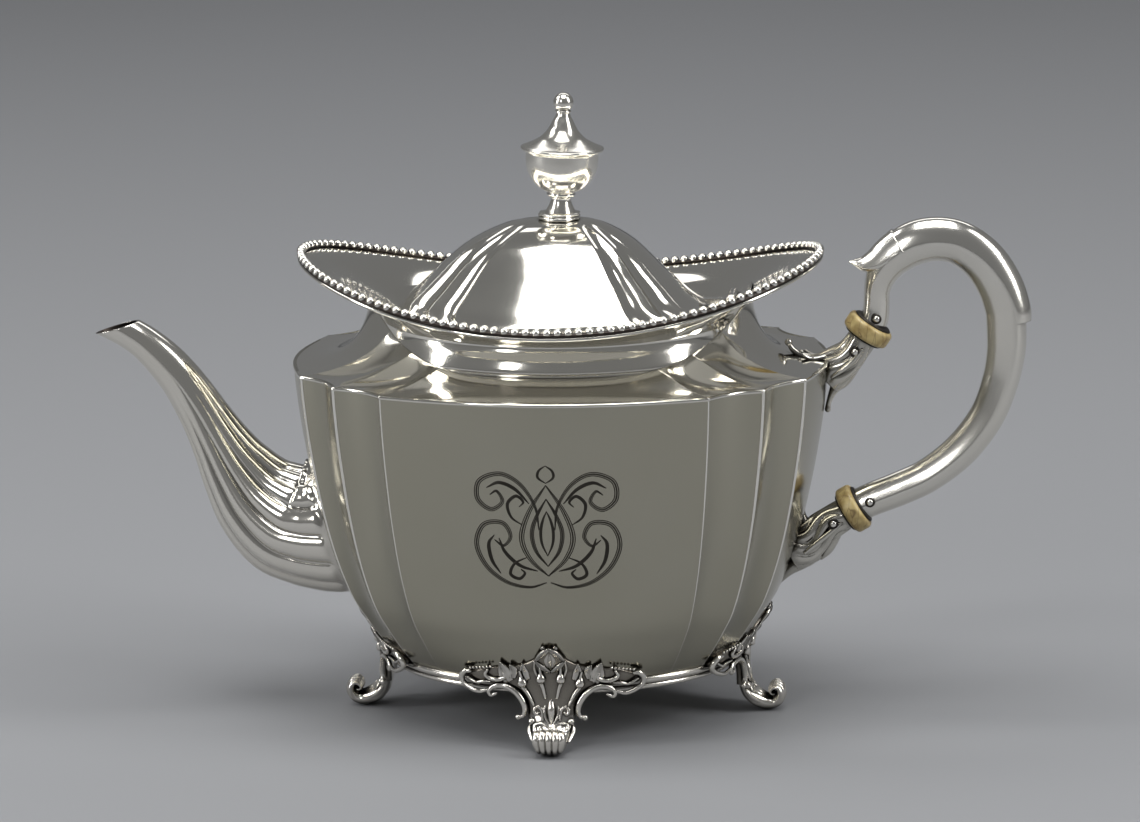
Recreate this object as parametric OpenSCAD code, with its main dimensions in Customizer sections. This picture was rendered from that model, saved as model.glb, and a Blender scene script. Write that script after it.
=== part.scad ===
// Oval footed silver teapot with a hinged domed lid, pulled spout and insulated scroll handle.
// Millimetres, +Z up, spout towards -X, handle towards +X.
// The origin is on the table, under the lid's finial.

/* [Body] */
// Half-length of the body at the shoulder ridge
ridge_a = 84; // [82:0.5:84]
// Half-depth of the body at the shoulder ridge
ridge_b = 70; // [66:0.5:72]
// Height of the shoulder ridge above the table
ridge_z = 113.8; // [113.4:0.1:114.2]
// Thickness of the silver sheet
wall = 0.9; // [0.8:0.1:1.3]
// How far each corner flute is hollowed
flute_depth = 2.2; // [1:0.1:3]
// Diameter of the strainer holes behind the spout
strainer_d = 3; // [2:0.5:4]

/* [Gallery] */
// Half-length of the beaded rim
rim_a = 81.2; // [79:0.2:82]
// Half-depth of the beaded rim
rim_b = 55.4; // [53:0.2:57]
// Height of the rim over the spout and the handle
rim_end_z = 147.9; // [145:0.1:150]
// Height of the rim at the front and back
rim_mid_z = 132.6; // [132:0.1:134]
// Radius of the bead strip
bead_r = 1.4; // [1.2:0.1:1.6]

/* [Lid] */
// Half-length of the lid
lid_a = 51.5; // [50.5:0.1:51.8]
// Half-depth of the lid
lid_b = 41; // [40:0.1:41.5]
// Height of the top of the dome
lid_top_z = 158; // [156:0.5:160]
// Height of the hinge pin
hinge_z = 133.2; // [133:0.1:133.4]

/* [Finial] */
// Height of the tip of the finial above the table
finial_top_z = 197.6; // [195:0.2:199]
// Radius of the urn's cover
flange_r = 13; // [11:0.5:14]

/* [Insulators] */
// Outer radius of the two insulating rings
ring_r = 7.5; // [7:0.1:8]
// Thickness of the two insulating rings
ring_t = 5.2; // [4.8:0.1:5.6]
// Radius of the cross pins
pin_r = 0.9; // [0.7:0.1:1]

/* [Hidden] */

silver = "silver";
bone = "burlywood";
neck_z = 117.2;
neck_a = 57.5;
neck_b = 47.5;
base_z = 17.5;
hinge_x = 53.9;
hinge_r = 1.6;
hinge_pin_r = 0.7;
seat_z = 128;

// ---- the lobed outline of the body: four long panels with two flutes at each corner ----
c1 = [0.595 * ridge_a, 0.85 * ridge_b];
c2 = [0.786 * ridge_a, 0.679 * ridge_b];
c3 = [0.929 * ridge_a, 0.45 * ridge_b];
cusps = [
  [c3.x, -c3.y], [c3.x, c3.y], [c2.x, c2.y], [c1.x, c1.y],
  [-c1.x, c1.y], [-c2.x, c2.y], [-c3.x, c3.y], [-c3.x, -c3.y],
  [-c2.x, -c2.y], [-c1.x, -c1.y], [c1.x, -c1.y], [c2.x, -c2.y]
];
end_rise = ridge_a - c3.x;
side_rise = ridge_b - c1.y;
rises = [
  end_rise, -flute_depth, -flute_depth, side_rise, -flute_depth, -flute_depth,
  end_rise, -flute_depth, -flute_depth, side_rise, -flute_depth, -flute_depth
];
steps = [8, 4, 4, 12, 4, 4, 8, 4, 4, 12, 4, 4];

function panel_point(i, u) =
  let (p = cusps[i], q = cusps[(i + 1) % 12], d = q - p, out = [d.y, -d.x] / norm(d))
  p + d * u + out * rises[i] * 4 * u * (1 - u);
outline = [for (i = [0:11]) for (k = [0:steps[i] - 1]) panel_point(i, k / steps[i])];

// Point of an ellipse on the ray through p
function on_ellipse(p, a, b) = p / sqrt(pow(p.x / a, 2) + pow(p.y / b, 2));
// A ring of the body: s scales the outline, w blends it towards a plain ellipse, t is taken off inwards
function body_ring(s, w, z, t = 0) = [
  for (p = outline)
    let (e = on_ellipse(p, ridge_a, ridge_b), q = (p * (1 - w) + e * w) * s)
    [q.x * (1 - t / norm(q)), q.y * (1 - t / norm(q)), z]
];
// Height, scale of the outline and blend towards the ellipse, from the base to the ridge
profile = [
  [base_z, 0.635, 1], [21, 0.66, 0.9], [26, 0.705, 0.7], [33, 0.76, 0.45], [42, 0.822, 0.25],
  [57, 0.885, 0.1], [75, 0.936, 0], [93, 0.974, 0], [106, 0.993, 0], [ridge_z, 1, 0]
];
// The shoulder sweeps in from the ridge to the neck: v is 0 at the ridge and 1 at the neck
function shoulder_ring(v, drop = 0, t = 0) = [
  for (p = outline)
    let (e = on_ellipse(p, neck_a, neck_b), f = 1 - pow(1 - v, 1.15), q = p * (1 - f) + e * f)
    [q.x * (1 - t / norm(q)), q.y * (1 - t / norm(q)),
     ridge_z + (neck_z - ridge_z) * pow(v, 1.7) - drop]
];

// ---- plain ellipses and swept forms ----
function oval(a, b, ze, zm, n = 72) = [
  for (i = [0:n - 1])
    let (t = 360 * i / n)
    [a * cos(t), b * sin(t), zm + (ze - zm) * pow(cos(t), 2)]
];
function flat(ring) = [for (p = ring) [p.x, p.y]];

// Closed skin through equal rings, each listed counter-clockwise and running upwards, with flat ends
module loft(rings) {
  n = len(rings[0]);
  m = len(rings);
  pts = [for (r = rings) for (p = r) p];
  sides = [
    for (j = [0:m - 2])
      for (i = [0:n - 1])
        for (f = [
          [j * n + i, (j + 1) * n + i, (j + 1) * n + (i + 1) % n],
          [j * n + i, (j + 1) * n + (i + 1) % n, j * n + (i + 1) % n]
        ]) f
  ];
  low = [for (i = [0:n - 1]) i];
  high = [for (i = [n - 1:-1:0]) (m - 1) * n + i];
  polyhedron(points = pts, faces = concat(sides, [low, high]));
}
// Skin through rings that close on themselves: up the outside and back down the inside
module loop_loft(rings) {
  n = len(rings[0]);
  m = len(rings);
  pts = [for (r = rings) for (p = r) p];
  sides = [
    for (j = [0:m - 1])
      for (i = [0:n - 1])
        let (k = (j + 1) % m)
        for (f = [[j * n + i, k * n + i, k * n + (i + 1) % n], [j * n + i, k * n + (i + 1) % n, j * n + (i + 1) % n]])
          f
  ];
  polyhedron(points = pts, faces = sides);
}
// Ring about a station [x, z, in-plane half-width, half-width along Y] of a path in the XZ plane
function path_dir(path, i) =
  let (a = path[max(i - 1, 0)], b = path[min(i + 1, len(path) - 1)], d = [b[0] - a[0], b[1] - a[1]])
  d / norm(d);
function path_ring(path, i, n, t = 0, lobes = 0) =
  let (s = path[i], d = path_dir(path, i))
  [
    for (k = [0:n - 1])
      let (
        f = 360 * k / n,
        g = 1 + lobes * pow(max(0, 1 - i / 5), 1) * (abs(cos(f * 4)) - 0.5),
        u = (s[2] - t) * cos(f) * g,
        v = (s[3] - t) * sin(f) * g
      )
      [s[0] + d.y * u, v, s[1] - d.x * u]
  ];
module path_solid(path, n) {
  loft([for (i = [0:len(path) - 1]) path_ring(path, i, n)]);
}
module path_tube(path, n, t, lobes = 0) {
  last = len(path) - 1;
  loop_loft(concat(
    [for (i = [0:last]) path_ring(path, i, n, 0, lobes)],
    [for (i = [last:-1:0]) path_ring(path, i, n, t, lobes)]
  ));
}

// The body and shoulder as one solid lump, for trimming the parts soldered to them
module body_lump(grow = 0, floor_z = base_z) {
  g = 1 + grow / 60;
  loft(concat(
    grow > 0 ? [body_ring(0.635 * g, 1, floor_z)] : [],
    [for (q = profile) body_ring(q[1] * g, q[2], q[0])],
    grow > 0 ? [] : [for (v = [0.15:0.17:1]) shoulder_ring(v)]
  ));
}

// ---- body ----
module body_bowl() {
  color(silver)
    difference() {
      loop_loft(concat(
        [for (q = profile) body_ring(q[1], q[2], q[0])],
        [for (k = [len(profile) - 1:-1:0]) body_ring(profile[k][1], profile[k][2], profile[k][0], wall)]
      ));
      for (r = [0, 1, 2])
        for (k = [0:max(0, 6 * r - 1)])
          translate([-90, 4.6 * r * cos(360 * k / max(1, 6 * r)), 64 + 4.6 * r * sin(360 * k / max(1, 6 * r))])
            rotate([0, 90, 0])
              cylinder(d = strainer_d, h = 24, $fn = 24);
    }
}
module base_plate() {
  k = (0.635 * ridge_a - wall) / (0.635 * ridge_a);
  color(silver)
    translate([0, 0, base_z])
      linear_extrude(wall)
        polygon(flat(oval(0.632 * ridge_a * k, 0.632 * ridge_b * k, 0, 0)));
}
module base_band() {
  color(silver)
    difference() {
      translate([0, 0, base_z - 1])
        linear_extrude(4.2)
          polygon(flat(oval(0.635 * ridge_a + 2.6, 0.635 * ridge_b + 2.6, 0, 0)));
      body_lump();
      translate([0, 0, base_z - 2])
        linear_extrude(4)
          polygon(flat(oval(0.635 * ridge_a - 0.2, 0.635 * ridge_b - 0.2, 0, 0)));
    }
}

// ---- feet: an ornamental knee plate on the base of the body and a scrolled leg ----
plate_half = [
  [0, 34], [3.4, 29.5], [7.5, 27.5], [14, 26], [21, 26.4], [29.5, 23.8], [29, 20.5], [22.5, 20],
  [19.5, 15.6], [14.5, 16.5], [10.5, 12.4], [7.5, 11], [0, 9.5]
];
function mirrored(h) = concat(h, [for (k = [len(h) - 2:-1:1]) [-h[k].x, h[k].y]]);
// Side view of the leg: distance outwards from the body's base, height
leg_side = [
  [-9, 22], [-7, 14], [-6, 8], [-3.5, 3.2], [1.5, 0.9], [2.5, 0], [8.5, 0], [10.5, 1.2], [13.6, 3.2],
  [14.6, 6], [13, 9], [9.6, 9.8], [6.6, 11.4], [5.2, 14.5], [5.6, 20], [9, 27], [6, 29], [-2, 24]
];
// d is how far out the base of the body is on this side, a is the direction, w the spread of the plate
module foot(d, a, w) {
  difference() {
    union() {
      intersection() {
        body_lump(2.6, 8);
        rotate([0, 0, a])
          translate([d - 24, 0, 0])
            rotate([90, 0, 90])
              linear_extrude(40)
                polygon([for (p = mirrored(plate_half)) [p.x * w, p.y]]);
      }
      rotate([0, 0, a])
        translate([d, 0, 0]) {
          translate([0, 4.8, 0])
            rotate([90, 0, 0])
              linear_extrude(9.6)
                polygon(leg_side);
          translate([9.5, 0, 5])
            rotate([90, 0, 0])
              cylinder(r = 4.6, h = 13, center = true, $fn = 32);
        }
    }
    body_lump();
    translate([0, 0, base_z - 9])
      linear_extrude(13)
        polygon(flat(oval(0.635 * ridge_a + 2.6, 0.635 * ridge_b + 2.6, 0, 0)));
  }
}
module foot_front() {
  color(silver) foot(0.635 * ridge_b + 2.6, -90, 1);
}
module foot_back() {
  color(silver) foot(0.635 * ridge_b + 2.6, 90, 1);
}
module foot_spout_side() {
  color(silver) foot(0.635 * ridge_a + 2.6, 180, 0.94);
}
module foot_handle_side() {
  color(silver) foot(0.635 * ridge_a + 2.6, 0, 0.94);
}

// ---- shoulder, neck and gallery ----
module shoulder() {
  vs = [0, 0.1, 0.25, 0.42, 0.6, 0.8, 1];
  color(silver)
    loop_loft(concat(
      [for (v = vs) shoulder_ring(v)],
      [for (k = [len(vs) - 1:-1:1]) shoulder_ring(vs[k], vs[k] == 1 ? 0 : wall, wall)],
      [shoulder_ring(0, 0, wall)]
    ));
}
module neck_moulding() {
  color(silver)
    translate([0, 0, neck_z])
      difference() {
        linear_extrude(1.2)
          polygon(flat(oval(neck_a + 1.2, neck_b + 1.2, 0, 0)));
        translate([0, 0, -1])
          linear_extrude(4)
            polygon(flat(oval(neck_a, neck_b, 0, 0)));
      }
}
// Half-length, half-depth, height at the ends and height at the front, up the outside of the gallery
gallery_out = [
  [neck_a, neck_b, neck_z, neck_z], [neck_a - 0.2, neck_b - 0.2, 119.6, 119.4],
  [56.3, 46.3, 122.4, 122], [54.6, 44.8, 125.4, 124.4], [54.2, 44.5, 128.6, 126.2],
  [57.4, 46.2, 132.2, 127.8], [64.4, 49.6, 137.4, rim_mid_z - 3.2], [73.4, 53.2, 142.8, rim_mid_z - 2.2],
  [rim_a + 0.6, rim_b + 0.6, rim_end_z - 2, rim_mid_z - 2],
  [rim_a + 0.6, rim_b + 0.6, rim_end_z - 1.3, rim_mid_z - 1.3]
];
gallery_in = [
  [rim_a - 1.5, rim_b - 1.4, rim_end_z - 1.2, rim_mid_z - 1.1], [72.4, 52.4, 143.8, rim_mid_z - 1.4],
  [63.6, 48.6, 138.5, rim_mid_z - 2.2], [56.6, 45.4, 133.2, 129.2], [53.4, 43.7, 129.4, 128.6],
  [52.9, 43.2, seat_z, seat_z], [50.2, 40.2, seat_z, seat_z], [50.2, 40.2, 126.9, 126.9],
  [53, 43.3, 126.3, 126], [53.4, 43.6, 125.2, 124.2], [55.2, 45.2, 122, 121.6],
  [neck_a - 1.4, neck_b - 1.4, 119.4, 119.2], [neck_a - 1.2, neck_b - 1.2, neck_z, neck_z]
];
module gallery() {
  color(silver)
    loop_loft(concat(
      [for (g = gallery_out) oval(g[0], g[1], g[2], g[3])],
      [for (g = gallery_in) oval(g[0], g[1], g[2], g[3])]
    ));
}
module rim_beading() {
  color(silver)
    loop_loft([
      for (k = [0:7])
        let (f = -90 + 45 * k)
        oval(rim_a + bead_r * cos(f), rim_b + bead_r * cos(f), rim_end_z + bead_r * sin(f), rim_mid_z + bead_r * sin(f))
    ]);
}

// ---- spout: a pulled S-shaped tube, lobed where it leaves the body ----
spout_path = [
  [-66, 60, 22.4, 20.5], [-75.5, 59.7, 21.9, 19.6], [-82.7, 59.9, 20.2, 18.4], [-89.5, 61.7, 18.4, 16.8],
  [-97.2, 67.8, 15.2, 14.2], [-103.5, 76.2, 11.9, 11.6], [-108.5, 84.8, 9.4, 9.7], [-112.9, 92.8, 8, 8.3],
  [-116.9, 99.7, 7.3, 7.5], [-121, 105.9, 6.7, 6.9], [-125.9, 111.8, 6.2, 6.3], [-131.9, 117.4, 5.5, 5.5],
  [-137.6, 121.1, 5.1, 4.9], [-143.5, 124, 4.9, 4.4], [-149, 126.7, 4.8, 4.1]
];
module spout() {
  color(silver)
    difference() {
      path_tube(spout_path, 32, wall, 0.12);
      body_lump();
      translate([-137, 0, 123.8])
        rotate([0, -16.2, 0])
          translate([-16, -10, 0])
            cube([28, 20, 20]);
    }
}

// ---- handle, sockets and insulators ----
handle_path = [
  [97.7, 125.3, 4.9, 4.9], [98.5, 127.8, 4.6, 4.7], [98.8, 131, 4.25, 4.5], [98.9, 136, 4.3, 4.6],
  [100.7, 142.8, 5.6, 5.2], [104.8, 147.6, 6.8, 5.6], [111, 150.8, 6.9, 5.8], [117.7, 151.8, 6.8, 5.8],
  [124.7, 150.4, 6.8, 5.8], [132, 144.8, 7, 5.8], [137.2, 137.2, 7.1, 5.8], [140, 128.6, 7.05, 5.7],
  [140.4, 122.4, 6.5, 5.5], [139.9, 116.5, 5.8, 5.2], [138.1, 107, 5.6, 5], [133.6, 95.7, 5.4, 5],
  [125.5, 84.8, 5.5, 5], [115.4, 76.6, 5.4, 5], [106.4, 72.2, 5.4, 5], [98.5, 69, 5.4, 5],
  [93.8, 66.9, 5.4, 5.2]
];
upper_ring = [96.2, 0, 123];
upper_tilt = 32.7;
lower_ring = [91.6, 0, 65.5];
lower_tilt = 58.7;

module handle_scroll() {
  color(silver)
    difference() {
      union() {
        path_tube(handle_path, 20, wall);
        difference() {
          hull() {
            translate([90.4, 0, 144.6])
              sphere(r = 0.8, $fn = 16);
            translate([97.4, 0, 142.6])
              sphere(r = 3, $fn = 24);
            translate([101, 0, 147])
              sphere(r = 3.2, $fn = 24);
          }
          path_solid([for (s = handle_path) [s[0], s[1], s[2] - wall, s[3] - wall]], 20);
        }
      }
      pin_hole(upper_ring, upper_tilt, 5);
      pin_hole(lower_ring, lower_tilt, 6.2);
    }
}
// A hole or pin along Y, at a distance along the axis of an insulator
module pin_hole(ring, tilt, along, r = pin_r, half = 12) {
  translate(ring)
    rotate([0, tilt, 0])
      translate([0, 0, along])
        rotate([90, 0, 0])
          cylinder(r = r, h = 2 * half, center = true, $fn = 24);
}
upper_socket_path = [[94.8, 120.8, 4.9, 4.9], [91.6, 116.1, 5, 5], [87.6, 111.8, 5.6, 6], [81, 108, 7, 7.5], [74, 105, 8, 8]];
lower_socket_path = [[89.4, 64.1, 5.3, 5.2], [83.4, 60, 5.4, 5.4], [77, 55.4, 6.4, 6.4], [70, 51.4, 8, 7.6], [62, 48, 9, 8]];
module leaf(from, to, r0, r1) {
  hull() {
    translate(from)
      sphere(r = r0, $fn = 20);
    translate(to)
      sphere(r = r1, $fn = 16);
  }
}
module upper_socket() {
  color(silver)
    difference() {
      union() {
        path_solid(upper_socket_path, 20);
        leaf([84, 0, 114.5], [71.5, 0, 115.4], 3, 1);
        leaf([83, 0, 105], [82.9, 0, 97], 3, 0.8);
      }
      body_lump();
      translate(upper_ring)
        rotate([0, upper_tilt, 0])
          translate([0, 0, -10.6])
            cylinder(r = 3.5, h = 12, $fn = 48);
      pin_hole(upper_ring, upper_tilt, -7.4);
    }
}
module lower_socket() {
  color(silver)
    difference() {
      union() {
        path_solid(lower_socket_path, 20);
        leaf([71, 0, 48], [63.6, 0, 37.5], 3.4, 0.9);
        leaf([72, 0, 60], [74.6, 0, 68], 3, 0.8);
      }
      body_lump();
      translate(lower_ring)
        rotate([0, lower_tilt, 0])
          translate([0, 0, -10.6])
            cylinder(r = 3.5, h = 12, $fn = 48);
      pin_hole(lower_ring, lower_tilt, -7.2);
    }
}
// Bone ring with a spigot on each side: the handle and the socket are slipped over them and pinned
module insulator(ring, tilt, up, up_pin, down_pin) {
  color(bone)
    difference() {
      translate(ring)
        rotate([0, tilt, 0]) {
          translate([0, 0, -10.4])
            cylinder(r = 3.5, h = 10.4, $fn = 48);
          cylinder(r = 2.4, h = up, $fn = 48);
          rotate_extrude($fn = 64)
            polygon([
              [0, -ring_t / 2], [ring_r - 1.2, -ring_t / 2], [ring_r, -ring_t / 2 + 1.2],
              [ring_r, ring_t / 2 - 1.2], [ring_r - 1.2, ring_t / 2], [0, ring_t / 2]
            ]);
        }
      pin_hole(ring, tilt, up_pin);
      pin_hole(ring, tilt, down_pin);
    }
}
module upper_insulator() {
  insulator(upper_ring, upper_tilt, 6.4, 5, -7.4);
}
module lower_insulator() {
  insulator(lower_ring, lower_tilt, 8, 6.2, -7.2);
}
module upper_handle_pin() {
  color(silver) pin_hole(upper_ring, upper_tilt, 5, pin_r, 5.2);
}
module upper_socket_pin() {
  color(silver) pin_hole(upper_ring, upper_tilt, -7.4, pin_r, 5.5);
}
module lower_handle_pin() {
  color(silver) pin_hole(lower_ring, lower_tilt, 6.2, pin_r, 5.5);
}
module lower_socket_pin() {
  color(silver) pin_hole(lower_ring, lower_tilt, -7.2, pin_r, 6);
}

// ---- lid hinge at the handle end of the gallery ----
knuckle = 4;
module along_y(r, y0, y1) {
  translate([hinge_x, y0, hinge_z])
    rotate([-90, 0, 0])
      cylinder(r = r, h = y1 - y0, $fn = 32);
}
module body_hinge_leaf() {
  color(silver)
    difference() {
      union() {
        along_y(hinge_r, -2 - knuckle, 2 + knuckle);
        translate([hinge_x + 0.5, -2.2 - knuckle, hinge_z - 1.62])
          rotate([0, -41, 0])
            translate([0.15, 0, 0])
              cube([7.2, 4.4 + 2 * knuckle, 0.76]);
      }
      translate([hinge_x - 4, -2.2, hinge_z - 4])
        cube([6.4, 4.4, 8]);
      along_y(hinge_pin_r, -20, 20);
    }
}
module hinge_pin() {
  color(silver) along_y(hinge_pin_r, -2 - knuckle - 0.4, 2 + knuckle + 0.4);
}
module lid_hinge_leaf() {
  color(silver)
    difference() {
      union() {
        along_y(hinge_r, -1.9, 1.9);
        translate([hinge_x - 9.6, -1.9, hinge_z - 3])
          cube([8.6, 3.8, 2.6]);
      }
      along_y(hinge_pin_r + 0.04, -20, 20);
      lid_lump();
    }
}

// ---- lid ----
// Half-length, height above the seat and shift towards the spout, up the outside of the dome
dome = [
  [51.8, 0.3, 0], [51.8, 1.3, 0], [50.6, 2, 0.6], [49, 3.2, 2.2], [46.6, 6, 3.5], [42.2, 10, 3.3],
  [37.8, 14, 3.2], [33.5, 18, 3], [28.5, 22, 2.6], [22.4, 25.5, 2.1], [15.8, 28.3, 1.3], [9.5, 29.6, 0.5], [4, 30, 0]
];
dome_h = (lid_top_z - seat_z) / 30;
function dome_ring(d, t, z) = [
  for (p = oval((lid_a + 0.3) * d[0] / 51.8 - t, (lid_b + 0.3) * d[0] / 51.8 - t, z, z, 60)) [p.x - d[2], p.y, p.z]
];
module lid_lump() {
  loft([for (d = dome) dome_ring(d, 0, seat_z + dome_h * d[1])]);
}
module lid_dome() {
  n = len(dome) - 1;
  color(silver)
    difference() {
      lid_lump();
      loft(concat(
        [dome_ring(dome[1], 3.7, seat_z - 1), dome_ring(dome[1], 3.7, seat_z + 0.8), dome_ring(dome[3], 1.3, seat_z + 2.2)],
        [for (k = [4:n - 1]) dome_ring(dome[k], k > 8 ? 0.4 : 0.8, seat_z + dome_h * dome[k][1] - wall * (k > 8 ? 1 : 0.55))]
      ));
      translate([0, 0, 140])
        cylinder(r = 1.75, h = 30, $fn = 32);
    }
}
module lid_bezel() {
  color(silver)
    translate([0, 0, seat_z - 6])
      difference() {
        linear_extrude(6.3)
          polygon(flat(oval(48.6, 38.6, 0, 0)));
        translate([0, 0, -1])
          linear_extrude(9)
            polygon(flat(oval(47.6, 37.6, 0, 0)));
      }
}

// ---- urn finial, screwed to the lid ----
module finial() {
  z = lid_top_z;
  t = finial_top_z;
  color(silver) {
    translate([0, 0, z])
      rotate([0, 0, 22.5])
        cylinder(r = 6.9, h = 1.9, $fn = 8);
    rotate_extrude($fn = 48)
      polygon([
        [0, z + 1.9], [4.7, z + 1.9], [4.2, z + 3.4], [3.3, z + 5.2], [3.1, z + 6.8], [4.3, z + 7.4],
        [4.3, z + 8.2], [6.2, z + 9.2], [8.6, z + 11.6], [10.2, z + 14.6], [11.3, z + 19], [11.5, z + 21.2],
        [flange_r - 0.3, z + 21.5], [flange_r, z + 22.1], [flange_r - 0.4, z + 22.6], [9.4, z + 24],
        [6.6, z + 25.7], [4.6, z + 27.8], [3.3, z + 30.2], [2.4, t - 7.4], [2, t - 6], [2.3, t - 5.2],
        [3.05, t - 4.2], [3.2, t - 3.1], [2.8, t - 1.6], [1.7, t - 0.5], [0, t]
      ]);
    translate([0, 0, z - 8])
      cylinder(r = 1.6, h = 8.5, $fn = 32);
  }
}
module finial_washer() {
  color(silver)
    difference() {
      translate([0, 0, lid_top_z - 2.6])
        cylinder(r = 4.5, h = 1, $fn = 48);
      translate([0, 0, lid_top_z - 20])
        cylinder(r = 1.75, h = 30, $fn = 32);
    }
}
module finial_nut() {
  color(silver)
    difference() {
      translate([0, 0, lid_top_z - 5.4])
        cylinder(r = 3.4, h = 2.8, $fn = 6);
      translate([0, 0, lid_top_z - 20])
        cylinder(r = 1.6, h = 30, $fn = 32);
    }
}

body_bowl();
base_plate();
base_band();
foot_front();
foot_back();
foot_spout_side();
foot_handle_side();
shoulder();
neck_moulding();
gallery();
rim_beading();
spout();
handle_scroll();
upper_socket();
lower_socket();
upper_insulator();
lower_insulator();
upper_handle_pin();
upper_socket_pin();
lower_handle_pin();
lower_socket_pin();
body_hinge_leaf();
hinge_pin();
lid_dome();
lid_bezel();
lid_hinge_leaf();
finial();
finial_washer();
finial_nut();
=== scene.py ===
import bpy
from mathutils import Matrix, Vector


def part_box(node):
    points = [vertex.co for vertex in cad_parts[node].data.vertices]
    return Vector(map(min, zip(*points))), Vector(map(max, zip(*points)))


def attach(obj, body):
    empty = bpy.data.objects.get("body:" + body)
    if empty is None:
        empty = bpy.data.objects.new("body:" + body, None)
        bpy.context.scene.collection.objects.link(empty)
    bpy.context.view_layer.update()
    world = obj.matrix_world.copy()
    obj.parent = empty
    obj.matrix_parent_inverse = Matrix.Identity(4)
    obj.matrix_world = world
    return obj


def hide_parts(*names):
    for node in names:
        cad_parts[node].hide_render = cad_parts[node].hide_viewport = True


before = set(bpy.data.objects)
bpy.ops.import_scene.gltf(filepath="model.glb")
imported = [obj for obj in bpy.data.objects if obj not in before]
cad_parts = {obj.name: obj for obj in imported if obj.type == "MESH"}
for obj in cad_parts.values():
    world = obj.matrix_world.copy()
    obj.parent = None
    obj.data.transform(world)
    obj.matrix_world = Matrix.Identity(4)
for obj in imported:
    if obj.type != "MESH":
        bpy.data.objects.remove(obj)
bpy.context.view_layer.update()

import math

import bmesh
import bpy
import numpy as np
from mathutils import Matrix, Vector

# ---- Bowl ----
# The bowl is raised from one sheet of sterling silver: four long panels, and two hollow flutes at
# each corner, drawn in towards an oval base. Its face is worn to a soft satin by use and polishing.
MM = 0.001
FRONT, BACK, SPOUT_SIDE, HANDLE_SIDE = -90, 90, 180, 0


def spline(points, count):
    """Smooth curve through the points, with any number of columns."""
    p = np.array(points, float)
    p = np.vstack([2 * p[0] - p[1], p, 2 * p[-1] - p[-2]])
    t = np.linspace(0, len(points) - 1, count)
    i = np.minimum(t.astype(int), len(points) - 2)
    f = (t - i)[:, None]
    a, b, c, d = p[i], p[i + 1], p[i + 2], p[i + 3]
    return 0.5 * (2 * b + (c - a) * f + (2 * a - 5 * b + 4 * c - d) * f**2 + (3 * b - a - 3 * c + d) * f**3)


def skin(rings, closed=False, caps=True):
    """Vertices and faces through equal rings; closed joins the last ring to the first."""
    rings = [np.asarray(r, float) for r in rings]
    n, m = len(rings[0]), len(rings)
    verts = [tuple(v) for r in rings for v in r]
    faces = []
    for j in range(m if closed else m - 1):
        k = (j + 1) % m
        for i in range(n):
            q = (i + 1) % n
            faces.append((j * n + i, j * n + q, k * n + q, k * n + i))
    if caps and not closed:
        faces.append(tuple(range(n - 1, -1, -1)))
        faces.append(tuple((m - 1) * n + i for i in range(n)))
    return verts, faces


def piece(name, shells, material, body="pot", stands_for=(), flip=False):
    """One mesh object from shells given in millimetres, riding on its body."""
    verts, faces = [], []
    for v, f in shells:
        base = len(verts)
        verts += [(x * MM, y * MM, z * MM) for x, y, z in v]
        faces += [tuple(base + k for k in (reversed(q) if flip else q)) for q in f]
    mesh = bpy.data.meshes.new(name)
    mesh.from_pydata(verts, [], faces)
    mesh.validate()
    mesh.update()
    mesh.shade_smooth()
    thing = bpy.data.objects.new(name, mesh)
    bpy.context.scene.collection.objects.link(thing)
    mesh.materials.append(material)
    if stands_for:
        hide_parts(*stands_for)
    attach(thing, body)
    return thing


def node_maker(material):
    """Adds shader nodes to a material; an input is a value or another node's output."""
    tree = material.node_tree

    def add(kind, **inputs):
        made = tree.nodes.new("ShaderNode" + kind)
        for name, value in inputs.items():
            socket = made.inputs[name.replace("_", " ")]
            if isinstance(value, bpy.types.NodeSocket):
                tree.links.new(value, socket)
            else:
                socket.default_value = value
        return made

    return add


sulphide = (0.022, 0.018, 0.015, 1)


def silver(name, colour, rough, tarnish=0.0, reach=0.0025, wave=0.15, scratch=0.12, worn=0.06):
    """Sterling silver: faint hammered waviness, fine rubbing marks, and dark sulphide in recesses."""
    m = bpy.data.materials.new(name)
    m.use_nodes = True
    shader, join, add = m.node_tree.nodes["Principled BSDF"], m.node_tree.links.new, node_maker(m)
    shader.inputs["Metallic"].default_value = 1.0
    where = add("TexCoord").outputs["Object"]
    cloud = add("TexNoise", Vector=where, Scale=28, Detail=4).outputs["Fac"]
    rub = add("Mapping", Vector=where, Scale=(1, 1, 9), Rotation=(0.35, 0.2, 0)).outputs["Vector"]
    lines = add("TexNoise", Vector=rub, Scale=420, Detail=6).outputs["Fac"]
    gloss = add("MapRange", Value=cloud, From_Min=0.3, From_Max=0.75,
                To_Min=max(rough - worn * 0.5, 0.02), To_Max=rough + worn)
    join(gloss.outputs["Result"], shader.inputs["Roughness"])
    warm = (colour[0] * 0.93, colour[1] * 0.92, colour[2] * 0.88, 1)
    tone = add("MixRGB", Fac=cloud, Color1=(*colour, 1), Color2=warm).outputs["Color"]
    if tarnish:
        shade = add("AmbientOcclusion", Distance=reach)
        shade.samples = 6
        stain = add("MapRange", Value=shade.outputs["AO"], From_Min=0.42, From_Max=0.92, To_Min=tarnish,
                    To_Max=0)
        tone = add("MixRGB", Fac=stain.outputs["Result"], Color1=tone, Color2=sulphide).outputs["Color"]
    join(tone, shader.inputs["Base Color"])
    dents = add("Bump", Strength=wave, Distance=0.0004, Height=cloud).outputs["Normal"]
    marks = add("Bump", Strength=scratch, Distance=0.00002, Height=lines, Normal=dents)
    join(marks.outputs["Normal"], shader.inputs["Normal"])
    return m


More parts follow.
